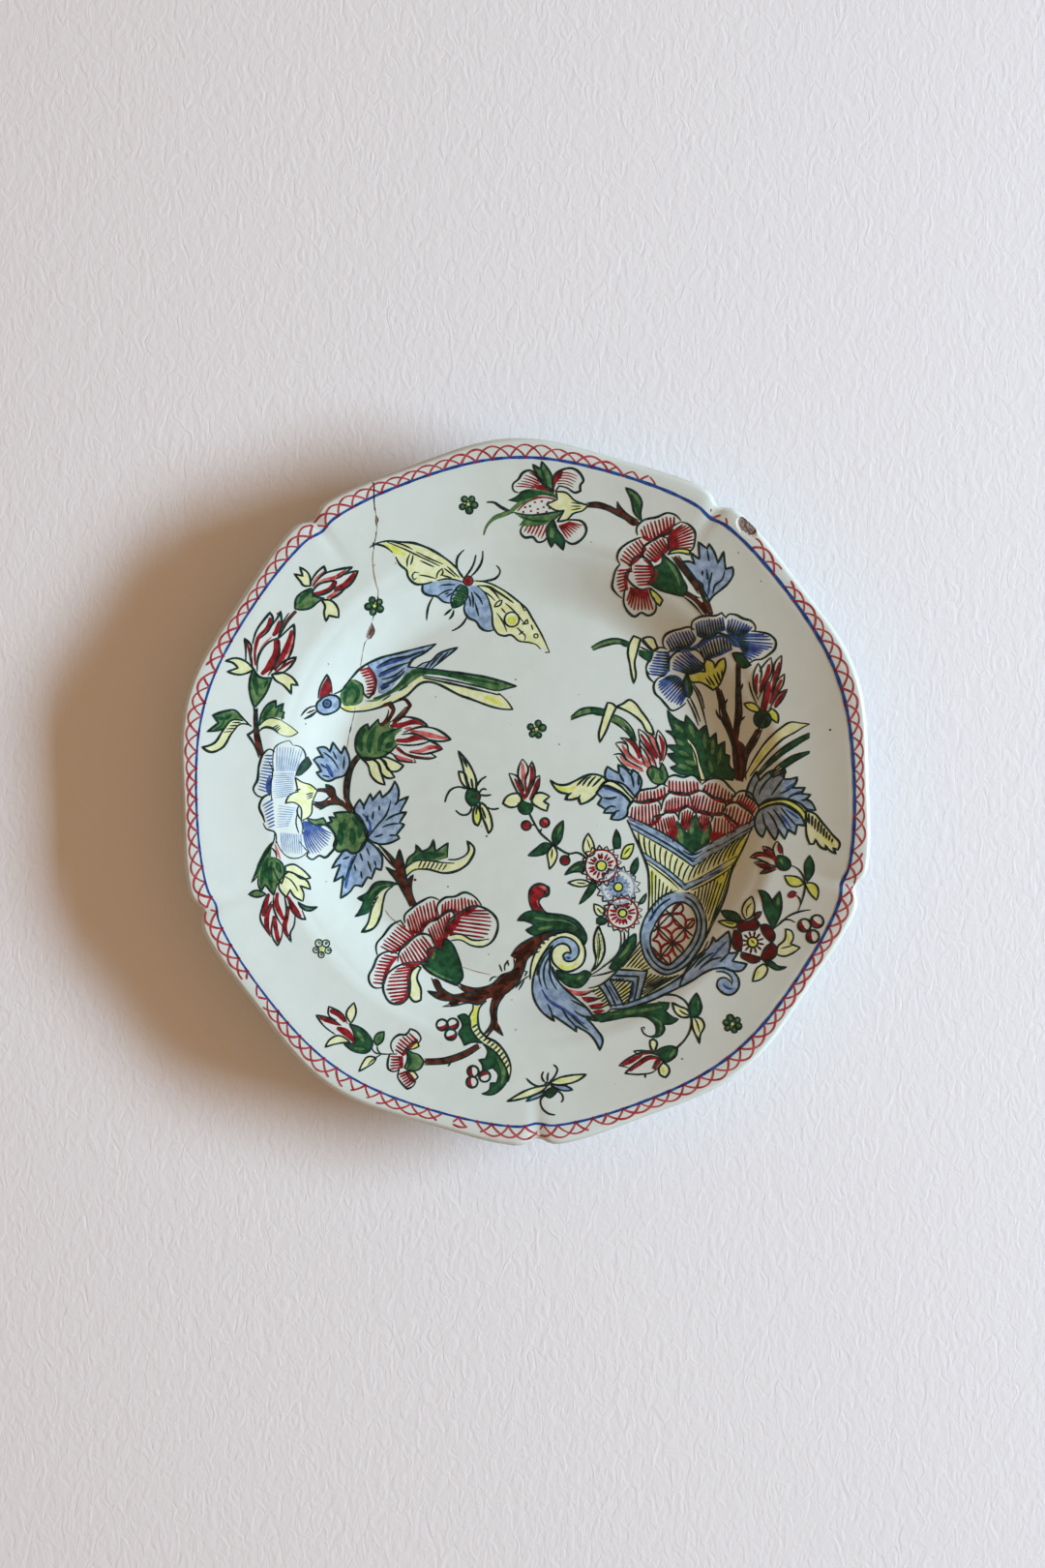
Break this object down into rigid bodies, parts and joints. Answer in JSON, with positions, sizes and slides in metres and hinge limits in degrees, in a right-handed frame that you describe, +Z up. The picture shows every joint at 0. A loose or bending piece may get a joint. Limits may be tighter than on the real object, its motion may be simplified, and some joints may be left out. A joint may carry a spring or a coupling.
{
  "type": "cracked dinner plate",
  "caption": "Round scalloped earthenware dinner plate with a painted glaze, a long crack and chips, on a foot ring.",
  "frame": {"origin": "on the table, at the centre of the foot ring", "axes": "+Z up, out of the eating surface; +Y towards the top of the painted picture; +X to its right"},
  "size_m": [0.2492, 0.2549, 0.0248],
  "materials": {
    "glaze": "gloss"
  },
  "bodies": {
    "root": {"plate": "glaze"}
  },
  "joints": []
}
